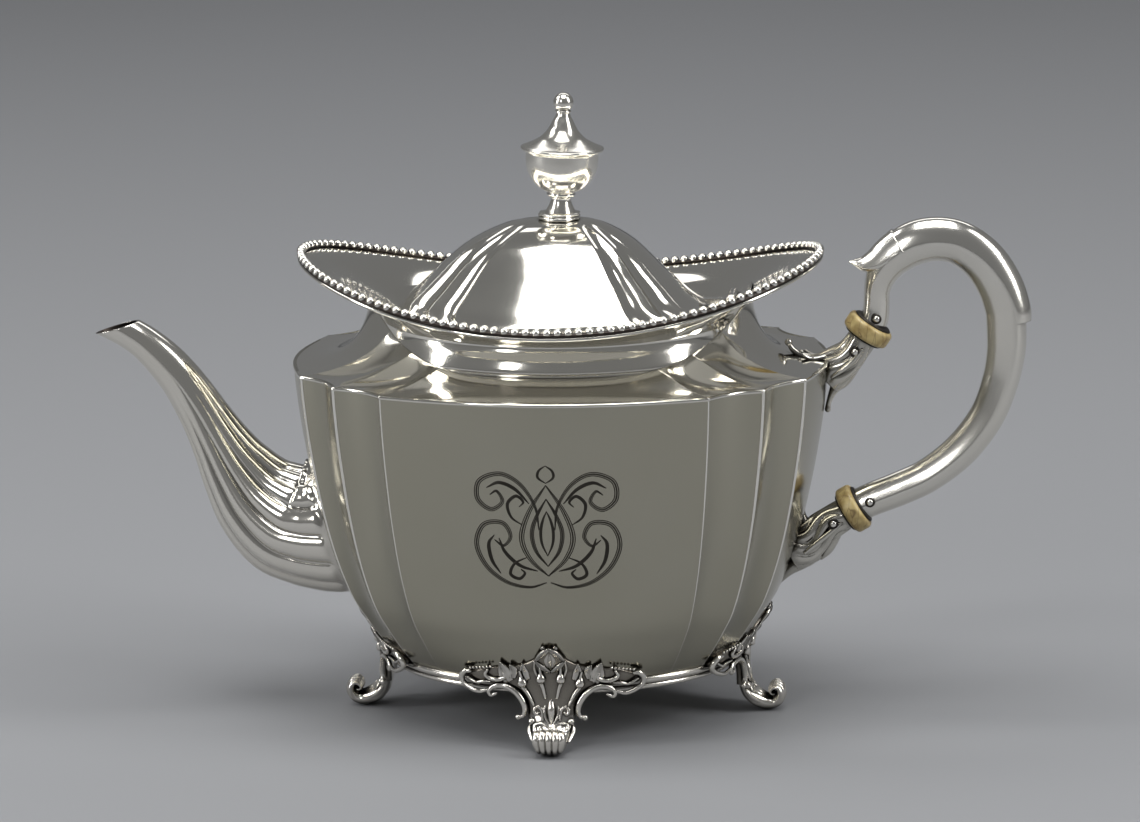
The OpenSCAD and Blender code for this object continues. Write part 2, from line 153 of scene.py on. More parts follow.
satin = silver("satin_silver", (0.465, 0.447, 0.375), 0.17, wave=0.12, scratch=0.4)
bright = silver("bright_silver", (0.85, 0.83, 0.775), 0.085, tarnish=0.5, reach=0.0015)
cast = silver("cast_silver", (0.8, 0.775, 0.73), 0.17, tarnish=0.97, reach=0.003, wave=0.3)

bowl_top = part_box("body_bowl")[1]
ridge_a, ridge_b, ridge_z = (v / MM for v in bowl_top)
base_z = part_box("body_bowl")[0][2] / MM
wall = 0.9
flute = 2.2
corner_points = [(0.595, 0.85), (0.786, 0.679), (0.929, 0.45)]
quarter = [(x * ridge_a, y * ridge_b) for x, y in corner_points]
cusps = [np.array(c) for c in (
    [(quarter[2][0], -quarter[2][1])] + quarter[::-1]
    + [(-x, y) for x, y in quarter] + [(-x, -y) for x, y in quarter[::-1]] + [(x, -y) for x, y in quarter]
)[:-1]]
end_rise = ridge_a - quarter[2][0]
side_rise = ridge_b - quarter[0][1]


face_kinds = ["end", "flute", "flute", "side", "flute", "flute"] * 2
face_points = {"end": 40, "flute": 18, "side": 72}


def lobed_outline():
    """Plan of the ridge: convex panels with softly lifted ends, hollow flutes between the arrises."""
    points = []
    for i, kind in enumerate(face_kinds):
        p, q = cusps[i], cusps[(i + 1) % 12]
        d = q - p
        out = np.array([d[1], -d[0]]) / np.linalg.norm(d)
        count = face_points[kind]
        rise = {"end": end_rise, "flute": -flute, "side": side_rise}[kind]
        for k in range(count):
            u = (1 - math.cos(math.pi * k / count)) / 2
            bow = 4 * u * (1 - u)
            if kind != "flute":
                bow = 0.9 * bow + 0.1 * math.sin(math.pi * u) ** 2
            points.append(p + d * u + out * rise * bow)
    return np.array(points)


outline = lobed_outline()
reach_of_oval = np.sqrt((outline[:, 0] / ridge_a) ** 2 + (outline[:, 1] / ridge_b) ** 2)
ridge_oval = outline / reach_of_oval[:, None]
# Height, scale of the outline and blend towards a plain oval
bowl_profile = [
    (base_z, 0.635, 1), (21, 0.66, 0.9), (26, 0.705, 0.7), (33, 0.76, 0.45), (42, 0.822, 0.25),
    (57, 0.885, 0.1), (75, 0.936, 0), (93, 0.974, 0), (106, 0.993, 0), (ridge_z, 1, 0),
]


crowding = 0.27


def drift(q, s):
    """Towards the foot the long panels stay wide and the flutes crowd to the ends."""
    f = np.arctan2(q[:, 1] / ridge_b, q[:, 0] / ridge_a)
    reach = np.hypot(q[:, 0] / ridge_a, q[:, 1] / ridge_b)
    f = f - crowding * (1 - s) * np.sin(2 * f)
    return np.column_stack([ridge_a * reach * np.cos(f), ridge_b * reach * np.sin(f)])


def bowl_ring(s, w, z, t=0.0):
    q = drift((outline * (1 - w) + ridge_oval * w) * s, s)
    q = q * (1 - t / np.linalg.norm(q, axis=1))[:, None]
    return np.column_stack([q, np.full(len(q), z)])


bowl_rows = spline(bowl_profile, 76)
bowl_rows[:, 2] = np.clip(bowl_rows[:, 2], 0, 1)
bowl_outer = [bowl_ring(s, w, z) for z, s, w in bowl_rows]
bowl_inner = [bowl_ring(s, w, z, wall) for z, s, w in bowl_rows[::-1]]


def bowl_scale(z):
    return float(np.interp(z, bowl_rows[:, 0], bowl_rows[:, 1]))


bowl_halves = {}


def bowl_lookup(z, axis, side, at):
    """Outer face of the bowl at one height: the other coordinate where the given one is `at`."""
    z = round(min(max(z, base_z), ridge_z) * 4) / 4
    key = (z, axis, side)
    if key not in bowl_halves:
        ring = bowl_ring(bowl_scale(z), float(np.interp(z, bowl_rows[:, 0], bowl_rows[:, 2])), z)
        half = ring[ring[:, 1 - axis] * side > 0]
        order = np.argsort(half[:, axis])
        bowl_halves[key] = half[order, axis], half[order, 1 - axis]
    return float(np.interp(at, *bowl_halves[key]))


def bowl_edge(y, z, side):
    """X of the bowl's end face, towards the spout (-1) or the handle (1)."""
    return bowl_lookup(z, 1, side, y)


def bowl_front(x, z):
    """Y of the bowl's front face."""
    low = math.floor(z * 4) / 4
    share = (z - low) * 4
    return bowl_lookup(low, 0, -1, x) * (1 - share) + bowl_lookup(low + 0.25, 0, -1, x) * share


piece("bowl", [skin(bowl_outer + bowl_inner, closed=True)], satin, stands_for=("body_bowl",))

# ---- Arrises ----
# Where panel and flute meet, the sheet is dressed to a narrow rounded arris. The edges are
# painted much brighter than the panels: a painted highlight along each arris.


def arris(i, radius):
    """Rounded edge down one corner of the bowl, finer towards the foot."""
    c = cusps[i]
    oval = c / math.hypot(c[0] / ridge_a, c[1] / ridge_b)
    rings = []
    for z, s, w in bowl_rows[::-1]:
        p = drift(np.array([(c * (1 - w) + oval * w) * s]), s)[0]
        out = p / np.linalg.norm(p)
        side = np.array([-out[1], out[0]])
        r = radius * (0.15 + 0.85 * min(max((z - 24) / 60, 0), 1))
        turn = np.arange(8) * math.pi / 4
        q = p - out * r * 0.5
        rings.append([(*(q + out * r * math.cos(f) + side * r * math.sin(f)), z) for f in turn])
    return skin(rings)


# Near-white silver for the arrises: painted highlight lines.
arris_highlight = silver("painted_highlight_edges", (0.98, 0.96, 0.92), 0.2)
soft_edge, sharp_edge = 0.28, 0.6
piece("bowl_arrises", [arris(i, soft_edge if i % 6 in (3, 4) else sharp_edge) for i in range(12)], arris_highlight)

# ---- Engraving ----
# Light scrollwork, cut by hand into the front panel: every stroke is three fine lines that swell
# and close again. The grooves are coloured near-black: painted shade in the engraving.


def engraved_line(points, width=0.2, spread=0.55):
    """Three fine ribbons along a stroke on the front panel, each a little sunk along its middle."""
    line = spline([(*q, 0) for q in points], 16 * len(points))[:, :2]
    along = np.gradient(line, axis=0)
    along /= np.linalg.norm(along, axis=1)[:, None]
    across = np.column_stack([-along[:, 1], along[:, 0]])
    shells = []
    share = np.sin(math.pi * np.linspace(0.02, 0.98, len(line))) ** 0.7
    for lane in (-1, 0, 1):
        mid = line + across * (lane * spread * share)[:, None]
        half = width * (0.35 + 0.65 * share) * (1.25 if lane == 0 else 0.8)
        rows = []
        for side, lift in ((-1, 0.0), (-0.9, 0.05), (0, 0.035), (0.9, 0.05), (1, 0.0)):
            q = mid + across * (side * half)[:, None]
            rows.append([(u, bowl_front(u, v) - lift, v) for u, v in q])
        n = len(line)
        verts = [v for row in rows for v in row]
        faces = [(j * n + i, j * n + i + 1, (j + 1) * n + i + 1, (j + 1) * n + i) for j in range(4)
                 for i in range(n - 1)]
        shells.append((verts, faces))
    return shells


# Near-black colour for the engraved strokes: painted shade in the grooves.
groove_shade = silver("painted_shade_grooves", (0.05, 0.046, 0.04), 0.45)
strokes = []
for side in (-1, 1):
    for curve, spread in [
        ([(0.6, 57.2), (6, 55.6), (13, 57.2), (19, 62.2), (21.8, 69.4), (19.4, 75.8), (13.6, 76.6),
          (11.2, 72.4), (13.4, 69.2), (16.2, 71)], 0.6),
        ([(2.4, 74.5), (3.4, 82), (7.6, 89), (13.8, 92.4), (20.2, 90), (21, 84.2), (17, 80.9), (13.4, 83.4),
          (15, 86.8), (17.2, 85.6)], 0.6),
        ([(0, 59.4), (5.4, 65), (7.8, 72), (5.2, 80.6), (0, 89)], 0.66),
        ([(0, 62.6), (3.5, 67.6), (4.6, 73.4), (3, 79), (0, 84.6)], 0.5),
        ([(0, 66), (1.6, 70), (1.9, 74), (1.2, 77.6), (0, 80.6)], 0.3),
        ([(3.2, 61), (8.6, 62.8), (13, 67), (14.8, 71.6)], 0.42),
        ([(6.2, 65.6), (10.2, 63.4), (11.6, 59.9), (9, 58.4), (7.2, 60.2), (8.4, 61.6)], 0.36),
        ([(14.6, 59.9), (17.2, 64.2), (18, 69.6), (16.2, 72.6)], 0.42),
        ([(7.4, 76), (10.8, 78.6), (11.8, 82.8), (9.2, 85.4), (7.0, 83.6), (8.3, 81.9)], 0.36),
        ([(5.2, 83), (9.4, 87.6), (14.2, 89.6), (18.2, 87.8)], 0.42),
        ([(0, 89.6), (2.3, 91.4), (2, 93.6), (0, 95.2)], 0.25),
    ]:
        strokes += engraved_line([(1 + side * u, v - 0.6) for u, v in curve], 0.21, spread)
piece("engraved_scrollwork", strokes, groove_shade)

# ---- Base plate ----
# A flat oval sheet soldered into the foot of the bowl. It keeps its plain shape from the frame and
# has the same worn silver.
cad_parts["base_plate"].data.materials.clear()
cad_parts["base_plate"].data.materials.append(satin)

# ---- Base band ----
# Two drawn wires, a stout one over a fine one, soldered round the foot of the bowl to stiffen it
# and to take the feet.


def oval_ring(a, b, end_z, mid_z, count=240):
    t = np.arange(count) * 2 * math.pi / count
    return np.column_stack([a * np.cos(t), b * np.sin(t), mid_z + (end_z - mid_z) * np.cos(t) ** 2])


def oval_wire(a, b, end_z, mid_z, r, tall=1.0, sides=14, count=240):
    """Wire of radius r along an oval."""
    rings = []
    for k in range(sides):
        f = -2 * math.pi * k / sides
        rings.append(oval_ring(a + r * math.cos(f), b + r * math.cos(f), end_z - tall * r * math.sin(f),
                               mid_z - tall * r * math.sin(f), count))
    return skin(rings, closed=True)


foot_a, foot_b = 0.635 * ridge_a, 0.635 * ridge_b
piece("base_band_wires", [
    oval_wire(foot_a + 1.3, foot_b + 1.3, base_z + 2.6, base_z + 2.6, 1.35, 1.0),
    oval_wire(foot_a + 1.1, foot_b + 1.1, base_z + 0.5, base_z + 0.5, 0.95),
    oval_wire(foot_a - 0.1, foot_b - 0.1, base_z + 1.4, base_z + 1.4, 0.9, 2.0),
], cast, stands_for=("base_band",))

# ---- Feet ----
# Four cast feet, soldered over the base band. Each is a foliate knee plate, chased with scrolls,
# buds and a leafy lozenge, over a palmette leg that rolls forward into a scrolled toe.


def rod(points, radii, sides=10, steps=None):
    """Round bar along a path, with rounded ends; radii follow the points."""
    rows = spline([(*p, r) for p, r in zip(points, radii)], steps or 5 * len(points))
    path, rad = rows[:, :3], np.maximum(rows[:, 3], 0.05)
    start, end = path[0] - path[1], path[-1] - path[-2]
    start, end = start / np.linalg.norm(start), end / np.linalg.norm(end)
    path = np.vstack([path[0] + start * rad[0] * 0.9, path[0] + start * rad[0] * 0.55, path,
                      path[-1] + end * rad[-1] * 0.55, path[-1] + end * rad[-1] * 0.9])
    rad = np.concatenate([[rad[0] * 0.35, rad[0] * 0.8], rad, [rad[-1] * 0.8, rad[-1] * 0.35]])
    along = np.gradient(path, axis=0)
    along /= np.linalg.norm(along, axis=1)[:, None]
    side = np.cross(along[0], (0.31, 0.17, 0.93))
    rings = []
    for c, d, r in zip(path, along, rad):
        side = side - d * side.dot(d)
        side /= np.linalg.norm(side)
        up = np.cross(d, side)
        f = np.arange(sides) * 2 * math.pi / sides
        rings.append(c + r * (np.cos(f)[:, None] * side + np.sin(f)[:, None] * up))
    return skin(rings)


def ball(centre, r, squash=1.0, rows=8, sides=12):
    """Small cast pellet."""
    c = np.array(centre, float)
    rings = []
    for j in range(rows + 1):
        f = math.pi * (0.03 + 0.94 * j / rows)
        t = np.arange(sides) * 2 * math.pi / sides
        rings.append(c + np.column_stack([r * math.sin(f) * np.cos(t), r * math.sin(f) * np.sin(t),
                                          np.full(sides, -r * squash * math.cos(f))]))
    return skin(rings)


def turned(axis_angle):
    a = math.radians(axis_angle)
    return np.array([math.cos(a), math.sin(a), 0]), np.array([-math.sin(a), math.cos(a), 0])


# Dark grey silver for the knee plates: the flat dark tone is painted shade between the cast ornaments, and
# the extra darkening in recesses is tarnish.
shaded_plate = silver("painted_shade_tarnish_plate", (0.3, 0.28, 0.25), 0.24, tarnish=0.97, reach=0.004, wave=0.3)


up = np.array([0, 0, 1.0])


def make_foot(name, node, direction):
    out, across = turned(direction)
    front_back = direction in (FRONT, BACK)
    deep, long = (ridge_b, ridge_a) if front_back else (ridge_a, ridge_b)
    side = 1 if front_back else 0
    toe_reach = max(abs(corner[side]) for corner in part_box(node)) / MM
    knee = toe_reach - 14.6

    def place(u, z, h):
        """Point h off the knee plate's seat: u across, z up."""
        s = bowl_scale(max(z, 20.5))
        lift = 2.1 - 1.9 * min(max((z - 20.5) / 4.5, 0), 1)
        d, l = s * deep, s * long
        t = u / l
        forward, sideways = (d + lift + h) * math.cos(t), (l + lift + h) * math.sin(t)
        return out * forward + across * sideways + up * z

    def bar(points, radii, h=1.4):
        return rod([place(u, z, h) for u, z in points], radii)

    def both(points, radii, h=1.4):
        return [bar(points, radii, h), bar([(-u, z) for u, z in points], radii, h)]

    def leaf(points, widths, h=0.9, crown=1.1):
        """Ribbed leaf along a line on the plate."""
        rows = spline([(u, z, w) for (u, z), w in zip(points, widths)], 14)
        line = rows[:, :2]
        along = np.gradient(line, axis=0)
        along /= np.linalg.norm(along, axis=1)[:, None]
        section = [(-1, -0.6), (-1, 0.1), (-0.62, 0.62), (-0.2, 0.4), (0, 1.0), (0.2, 0.4), (0.62, 0.62),
                   (1, 0.1), (1, -0.6)]
        rings = []
        for (u, z), d, w in zip(line, along, np.maximum(rows[:, 2], 0.12)):
            rings.append([place(u - d[1] * w * a, z + d[0] * w * a, h + crown * b * min(1, w / 0.8))
                          for a, b in section[::-1]])
        return skin(rings)

    def leaves(points, widths, h=0.9, crown=1.1):
        return [leaf(points, widths, h, crown), leaf([(-u, z) for u, z in points], widths, h, crown)]

    shells = []
    # Knee plate: rows across, following the foot of the bowl
    plate = [
        (9.6, 7.0), (11, 7.2), (13, 7.4), (15, 8.0), (17, 9.4), (18.6, 11.6), (19.6, 15), (20.1, 19),
        (20.4, 25.5), (21.4, 27.6), (22.8, 27.2), (24.2, 24.2), (25.4, 20.6), (26.2, 15.5), (27.2, 10),
        (28.4, 6.8), (30, 4.6), (31.6, 3.0), (33, 1.4), (33.8, 0.3),
    ]
    grid = []
    for z, half in spline(plate, 58):
        half = max(half, 0.2)
        top = [place(u * half, z, 0.95 * (1 - abs(u) ** 6) + 0.1) for u in np.linspace(-1, 1, 41)]
        under = [place(u * half, z, -1.6) for u in np.linspace(1, -1, 41)]
        grid.append(top + under)
    backing = [skin(grid)]
    # C-scrolls that spring from the leg, with rolled ends and pellets
    shells += both([(-16.6, 17.3), (-18.2, 16.6), (-18.8, 17.9), (-17.2, 19.5), (-13.9, 20), (-10.6, 18.3),
                    (-8.4, 15.2), (-7.8, 12.4), (-8.4, 10.6),
                    (-9.6, 10.2)],
                    [0.5, 0.6, 0.75, 0.85, 1, 1.05, 1, 0.85, 0.7, 0.6], 1.3)
    shells += [ball(place(s * 9.8, 10.2, 1.4), 0.95) for s in (-1, 1)]
    # Wing scrolls: a rolled lower edge with a crimped line inside it
    shells += both([(-25.4, 23.9), (-27, 23.8), (-28, 22.3), (-27.4, 20.2), (-25, 18.4), (-22, 17.5),
                    (-19.4, 18.2)],
                   [0.6, 0.9, 1, 0.85, 0.8, 0.7, 0.55])
    shells += both([(-26, 21.8), (-24.4, 20.9), (-22.6, 20.3), (-20.4, 20.9), (-18.4, 21)],
                   [0.35, 0.45, 0.45, 0.45, 0.3])
    shells += [ball(place(s * u, z, 1.2), 0.5, rows=6, sides=8)
               for s in (-1, 1) for u, z in [(18.6 + 1.15 * k, 26.2 - 0.2 * k) for k in range(7)]]
    shells += both([(-19.6, 25), (-20.2, 23.4), (-18.6, 22.2), (-16, 21.9), (-14, 22.8), (-14.4, 24.2)],
                   [0.4, 0.65, 0.75, 0.75, 0.7, 0.5])
    # Leaf tips along the top edge
    shells += leaves([(-12.4, 21.4), (-14.2, 24.4), (-15.6, 28.2)], [1.9, 2.4, 0.2])
    shells += leaves([(-11.6, 22.6), (-11.4, 25.4), (-12.4, 27.4)], [1.2, 1.5, 0.2])
    shells += leaves([(-7.2, 22.2), (-8.2, 25), (-8.4, 28)], [1.3, 1.6, 0.2])
    # Leafy lozenge at the top
    shells += leaves([(0, 33.6), (-2.2, 31.8), (-4.4, 29.2)], [0.5, 0.95, 0.4], 1.1)
    shells += leaves([(0, 24.8), (-2.4, 26.8), (-4.4, 29.0)], [0.5, 0.95, 0.4], 1.1)
    shells += [leaf([(0, 26.4), (0, 29.2), (0, 32.2)], [1.2, 2.3, 0.4], 0.7, 0.8)]
    shells += leaves([(-1.2, 32.6), (-1.9, 33.8), (-2.0, 34.6)], [0.4, 0.7, 0.2], 0.5)
    # Four buds on long stalks
    for u_bud, z_bud, u_root, z_root in [(8.3, 20.9, 5.2, 14.4), (2.9, 22.4, 1.7, 16.6)]:
        lean = 0.45 if u_bud > 5 else 0.1
        shells += both([(-u_bud - lean * 2.4, z_bud + 4.2), (-u_bud, z_bud + 0.9)], [0.35, 0.6], 1.5)
        shells += both([(-u_bud, z_bud - 1.0), (-(u_bud + u_root) / 2, (z_bud + z_root) / 2),
                        (-u_root, z_root)], [0.75, 0.6, 0.45])
        for s in (-1, 1):
            c = place(s * u_bud, z_bud, 1.5)
            top = place(s * (u_bud + lean * 1.6), z_bud + 2.6, 1.4)
            shells.append(rod([c - (top - c) * 0.35, c, c + (top - c) * 0.55, top], [0.7, 1.55, 1.15, 0.35],
                              12))
    shells += both([(-4.6, 29), (-4.7, 25.6), (-2.9, 21.6)], [0.35, 0.5, 0.35], 1.2)
    # Leg: narrows to the ankle and rolls forward into a reeded toe
    # Reach beyond the knee, height, half-width, thickness and depth of the reeds
    leg = [
        (0.1, 16.4, 7.2, 1.5, 0), (0.5, 12.6, 7.2, 2.2, 0), (1.0, 9.4, 6.9, 3.4, 0),
        (2.4, 6.4, 6.3, 4.5, 0.3), (4.9, 4.0, 5.6, 4.8, 0.8), (8.2, 2.45, 4.7, 4.3, 1),
        (11, 2.75, 4.4, 3.5, 1), (12.6, 4.6, 5.0, 2.9, 1), (12.7, 6.5, 5.3, 2.5, 1),
        (11.7, 7.8, 5.1, 2.2, 0.9), (10.3, 7.6, 4.8, 1.9, 0.6), (9.5, 6.5, 4.5, 1.6, 0.3),
        (10.0, 5.6, 4.2, 1.3, 0.1), (10.9, 5.7, 4.0, 1.0, 0),
    ]
    rows = spline(leg, 110)
    centre = rows[:, :2]
    along = np.gradient(centre, axis=0)
    along /= np.linalg.norm(along, axis=1)[:, None]
    reeds, reed_depth = 5, 0.75
    rings = []
    for (r, z), (dr, dz), half, thick, depth in zip(centre, along, rows[:, 2], rows[:, 3],
                                                    np.clip(rows[:, 4], 0, 1)):
        normal = np.array([-dz, dr])
        ring = []
        for face, across_it in ((1, np.linspace(-1, 1, 51)), (-1, np.linspace(1, -1, 51)[1:-1])):
            for u in across_it:
                reed = depth * reed_depth * (abs(math.cos(u * math.pi * reeds / 2)) ** 0.6 - 0.6)
                ring.append((u * half, face * (thick / 2 + reed) * (1 - abs(u) ** 2.6) ** 0.5))
        rings.append([out * (knee + r + normal[0] * b) + across * u + up * max(z + normal[1] * b, 0.0)
                      for u, b in ring])
    shells.append(skin(rings))

    def on_leg(u, z_at, h):
        """Point h proud of the front of the leg, at a height above the table."""
        front = centre[:45]
        r = float(np.interp(-z_at, -front[:, 1], front[:, 0]))
        half = float(np.interp(-z_at, -front[:, 1], rows[:45, 2]))
        thick = float(np.interp(-z_at, -front[:, 1], rows[:45, 3]))
        crown = (1 - min(abs(u / half), 0.98) ** 2.6) ** 0.5
        return out * (knee + r + thick / 2 * crown + h) + across * u + up * z_at

    def on_both(points, radii, h=0.1):
        for s in (-1, 1):
            shells.append(rod([on_leg(s * u, v, h) for u, v in points], radii))

    # Palmette: a tall middle leaf, curls on each side, and pellets at the shoulders of the leg
    middle = [(8.4, 0.2), (10.6, 0.5), (13, 0.7), (15, 0.6), (16.8, 0.2)]
    shells.append(rod([on_leg(0, v, h) for v, h in middle], [0.4, 1.0, 1.25, 0.85, 0.25]))
    on_both([(0.7, 15.6), (2.0, 13.4), (1.9, 10.8), (0.9, 8.8)], [0.3, 0.5, 0.55, 0.35], 0.3)
    on_both([(2.6, 9.6), (3.0, 12.6), (4.4, 13.6), (5.4, 12.4), (4.8, 11.2), (4.0, 11.8)],
            [0.35, 0.6, 0.65, 0.6, 0.5, 0.4], 0.3)
    on_both([(1.2, 7.6), (3.2, 8.6), (4.9, 8.2), (5.1, 6.8), (4.1, 6.2), (3.4, 6.9)],
            [0.35, 0.6, 0.65, 0.6, 0.5, 0.4], 0.3)
    on_both([(2.2, 16.2), (3.6, 15.4), (5.2, 15.8), (6.2, 17.0)], [0.35, 0.55, 0.5, 0.3], 0.2)
    on_both([(6.5, 7.9), (6.9, 6.6), (6.4, 5.0), (5.6, 3.6)], [0.45, 0.7, 0.65, 0.35], 0)
    shells.append(ball(on_leg(0, 7.2, 0.4), 0.8))
    for s in (-1, 1):
        shells.append(ball(on_leg(s * 6.1, 9.1, 0.4), 1.15))
    # The plate behind the ornament takes the dark grey painted-shade material.
    piece(name + "_plate", backing, shaded_plate)
    piece(name, shells, cast, stands_for=(node,))


make_foot("cast_foot_front", "foot_front", FRONT)
make_foot("cast_foot_back", "foot_back", BACK)
make_foot("cast_foot_spout_side", "foot_spout_side", SPOUT_SIDE)
make_foot("cast_foot_handle_side", "foot_handle_side", HANDLE_SIDE)

# ---- Shoulder ----
# Sheet that sweeps in from the ridge to the neck in hollow petals, one to each panel. A narrow
# rounded edge is left where it is soldered to the bowl.
neck_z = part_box("neck_moulding")[0][2] / MM
neck_a, neck_b = (v / MM - 1.2 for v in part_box("neck_moulding")[1][:2])
neck_oval = outline / np.sqrt((outline[:, 0] / neck_a) ** 2 + (outline[:, 1] / neck_b) ** 2)[:, None]


rim_low, rim_high = (np.array(c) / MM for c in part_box("rim_beading"))
bead_r = 1.4
rim_a, rim_b = rim_high[0] - bead_r, rim_high[1] - bead_r
rim_end_z, rim_mid_z = rim_high[2] - bead_r, rim_low[2] + bead_r
gallery_out = spline([
    (neck_a, neck_b, neck_z, neck_z), (neck_a - 0.1, neck_b - 0.1, 119.4, 119.2), (57.2, 46.4, 122.2, 121.8),
    (57.2, 44.9, 125.2, 124.2), (57.4, 44.6, 128.4, 126.2), (59, 46.2, 132.6, 127.8),
    (64.4, 49.6, 137.4, rim_mid_z - 3.2), (73.4, 53.2, 142.8, rim_mid_z - 2.2),
    (rim_a + 0.4, rim_b + 0.4, rim_end_z - 2.1, rim_mid_z - 2.0),
], 60)
petal_hollow = {"end": 0.9, "flute": 1.2, "side": 0.25}
hollow = []
for kind in face_kinds:
    petal = (1 - np.cos(math.pi * np.arange(face_points[kind]) / face_points[kind])) / 2
    hollow.append(petal_hollow[kind] * (1 - np.abs(2 * petal - 1) ** 2.2))
hollow = np.concatenate(hollow)
endness = (np.abs(neck_oval[:, 0]) / neck_a) ** 4
highest = int(np.argmax(gallery_out[:, 2] > 133.5))


def on_gallery(p, e):
    """Where the shoulder meets the neck in the direction of p, e = 0 at its foot and 1 under the flare."""
    a, b, z_end, z_mid = (np.interp(e * highest, range(len(gallery_out)), column) for column in gallery_out.T)
    f = math.atan2(p[1] / neck_b, p[0] / neck_a)
    sunk = 0.1 if p[0] > 0 else -0.1
    return a * math.cos(f) - sunk, b * math.sin(f), z_mid + (z_end - z_mid) * math.cos(f) ** 2


neck_top = np.array([on_gallery(p, e) for p, e in zip(neck_oval, endness)])


def shoulder_ring(v, drop=0.0, t=0.0):
    """Nearly flat inside the ridge, then a cove that climbs highest at the spout and handle ends."""
    start = np.column_stack([outline, np.full(len(outline), ridge_z)])
    gap = start[:, :2] - neck_top[:, :2]
    climb = neck_top[:, 2] - ridge_z
    low = np.column_stack([outline - 0.5 * gap, ridge_z + 0.1 * climb * (1 - 0.5 * endness)])
    lean = 0.34 - 0.28 * endness
    high = np.column_stack([neck_top[:, :2] + gap * lean[:, None],
                            neck_top[:, 2] - climb * (0.2 + 0.6 * endness)])
    q = (1 - v) ** 3 * start + 3 * v * (1 - v) ** 2 * low + 3 * v**2 * (1 - v) * high + v**3 * neck_top
    q[:, 2] -= hollow * max(math.sin(math.pi * v), 0) ** 0.7 + drop
    q[:, :2] *= (1 - t / np.linalg.norm(q[:, :2], axis=1))[:, None]
    return q


edge = [shoulder_ring(0, 0.55 - 0.55 * math.sin(f), -0.3 * math.cos(f)) for f in np.linspace(-1.2, 1.5, 7)]
steps = np.linspace(0, 1, 50)[1:]
piece("shoulder_sheet", [skin(
    edge + [shoulder_ring(v) for v in steps] + [shoulder_ring(v, wall, wall) for v in steps[::-1]]
    + [shoulder_ring(0, 1.0, wall)], closed=True)], bright, stands_for=("shoulder",))

# ---- Neck moulding ----
# A drawn half-round wire that hides the solder line between shoulder and gallery.
piece("neck_wire", [oval_wire(neck_a + 0.05, neck_b + 0.05, neck_z + 0.25, neck_z + 0.25, 0.6)], bright,
      stands_for=("neck_moulding",))

# ---- Gallery ----
# Neck and rim are one flared form. The rim rises over the spout and the handle and dips at the
# front and back, and a ledge inside the neck carries the lid.
gallery_edge = [(rim_a + 0.6, rim_b + 0.6, rim_end_z - 1.6, rim_mid_z - 1.6),
                (rim_a + 0.3, rim_b + 0.3, rim_end_z - 1.2, rim_mid_z - 1.2)]
gallery_in = spline([
    (rim_a - 1.4, rim_b - 1.3, rim_end_z - 1.2, rim_mid_z - 1.1), (72.4, 52.4, 143.8, rim_mid_z - 1.4),
    (63.6, 48.6, 138.5, rim_mid_z - 2.2), (56.6, 45.4, 133.2, 129.2), (53.4, 43.7, 129.4, 128.6),
], 40)
ledge = [(52.9, 43.2, 128, 128), (50.4, 40.4, 128, 128), (50.2, 40.2, 127.8, 127.8),
         (50.2, 40.2, 127.1, 127.1), (50.5, 40.5, 126.9, 126.9)]
throat = spline([(53, 43.3, 126.3, 126), (53.4, 43.6, 125.2, 124.2), (55.2, 45.2, 122, 121.6),
                 (neck_a - 1.2, neck_b - 1.2, 119.4, 119.2), (neck_a - 1.2, neck_b - 1.2, neck_z, neck_z)],
                 16)
piece("gallery_sheet", [skin([oval_ring(*g) for g in [*gallery_out, *gallery_edge, *gallery_in, *ledge,
                                                      *throat]], closed=True)],
      bright, stands_for=("gallery",))
piece("rim_lip", [oval_wire(rim_a + 0.45, rim_b + 0.45, rim_end_z - 1.95, rim_mid_z - 1.95, 0.62)], bright)

# ---- Beading ----
# Small cast beads soldered in a close row on the rim. Old tarnish sits in the channel between them.
dense = oval_ring(rim_a, rim_b, rim_end_z, rim_mid_z, 4000)
length = np.concatenate([[0], np.cumsum(np.linalg.norm(np.diff(np.vstack([dense, dense[:1]]), axis=0),
                                                       axis=1))])
bead_pitch = 3.25
bead_count = round(length[-1] / bead_pitch)
spots = [dense[np.searchsorted(length, (k + 0.5) * length[-1] / bead_count) % 4000]
         for k in range(bead_count)]
# Near-black: old tarnish in the bead channel, and painted shade on the inner face of the spout tube.
tarnish_and_shade = silver("tarnish_and_painted_shade", (0.045, 0.038, 0.034), 0.4, tarnish=0.6)
beaded = silver("beaded_silver", (0.88, 0.86, 0.82), 0.1, tarnish=0.97, reach=0.0014)
piece("rim_beads", [ball(c, bead_r - 0.02, 1.0, 12, 18) for c in spots], beaded, stands_for=("rim_beading",))
piece("rim_channel", [oval_wire(rim_a, rim_b, rim_end_z - 0.75, rim_mid_z - 0.75, 1.25, 0.55)], tarnish_and_shade)

# ---- Spout ----
# A seamed tube drawn to an S and chased into fourteen ribs where it meets the bowl. The ribs die
# out up the neck, and the mouth is cut on a slant and left open.
spout_rows = spline([
    (-66, 60, 22.4, 20.5), (-75.5, 59.7, 21.9, 19.6), (-82.7, 59.9, 20.2, 18.4), (-89.5, 61.7, 18.4, 16.8),
    (-97.2, 67.8, 15.2, 14.2), (-103.5, 76.2, 11.9, 11.6), (-108.5, 84.8, 9.4, 9.7), (-112.9, 92.8, 8, 8.3),
    (-116.9, 99.7, 7.3, 7.5), (-121, 105.9, 6.7, 6.9), (-125.9, 111.8, 6.2, 6.3), (-131.9, 117.4, 5.5, 5.5),
    (-137.6, 121.1, 5.1, 4.9), (-143.5, 124, 4.9, 4.4), (-149, 126.7, 4.8, 4.1),
], 190)
spout_along = np.gradient(spout_rows[:, :2], axis=0)
spout_along /= np.linalg.norm(spout_along, axis=1)[:, None]
spout_ribs = 14
mouth_spot, mouth_slope = (-137.0, 123.8), math.radians(16.2)


def ease(v):
    v = min(max(v, 0.0), 1.0)
    return v * v * (3 - 2 * v)


